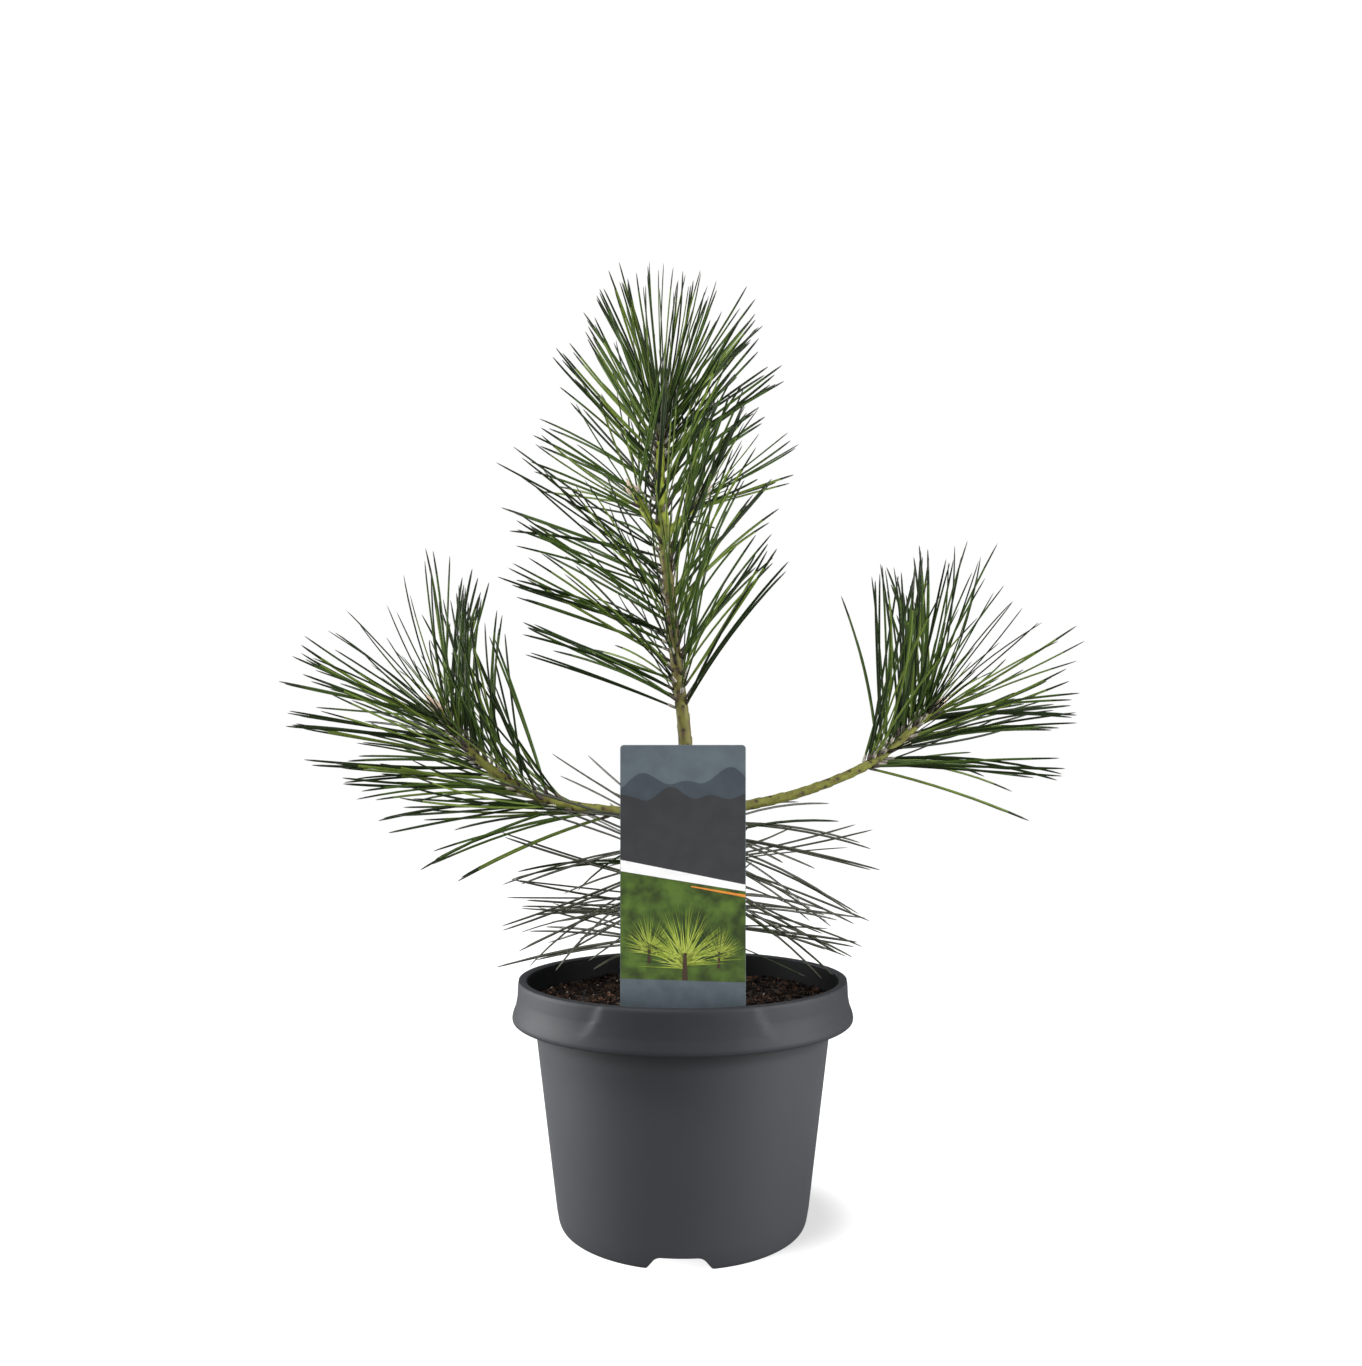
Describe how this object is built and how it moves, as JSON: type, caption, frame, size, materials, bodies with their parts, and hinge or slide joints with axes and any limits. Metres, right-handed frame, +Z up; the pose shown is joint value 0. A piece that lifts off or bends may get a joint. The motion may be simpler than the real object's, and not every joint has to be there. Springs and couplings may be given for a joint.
{
  "type": "potted pine",
  "caption": "Young long-needled pine with an upright leader, two level side boughs and tufts of paired needles, in a round tapered nursery pot with compost and a picture label.",
  "frame": {"origin": "on the ground under the middle of the pot, at the bottom centre of the bounding box", "axes": "+Z up along the pot's axis and the trunk, +X towards the right-hand bough, -Y towards the label on the front"},
  "size_m": [0.472, 0.1944, 0.5586],
  "materials": {
    "pot_plastic": "anthracite moulded plastic, satin",
    "compost": "moist bark and peat compost",
    "label_card": "printed plastic card, satin",
    "bark": "green young bark with scales",
    "needles": "waxy green needles in pairs"
  },
  "bodies": {
    "root": {"pot": "pot_plastic", "compost": "compost", "label": "label_card", "trunk": "bark", "bough_left": "bark", "bough_right": "bark", "needles_bough_left": "needles", "needles_bough_right": "needles", "needles_shoot_left": "needles", "needles_shoot_right": "needles", "needles_leader_tip": "needles", "needles_leader_upper": "needles", "needles_leader_middle": "needles", "needles_leader_low": "needles", "needles_trunk_foot": "needles"}
  },
  "joints": []
}
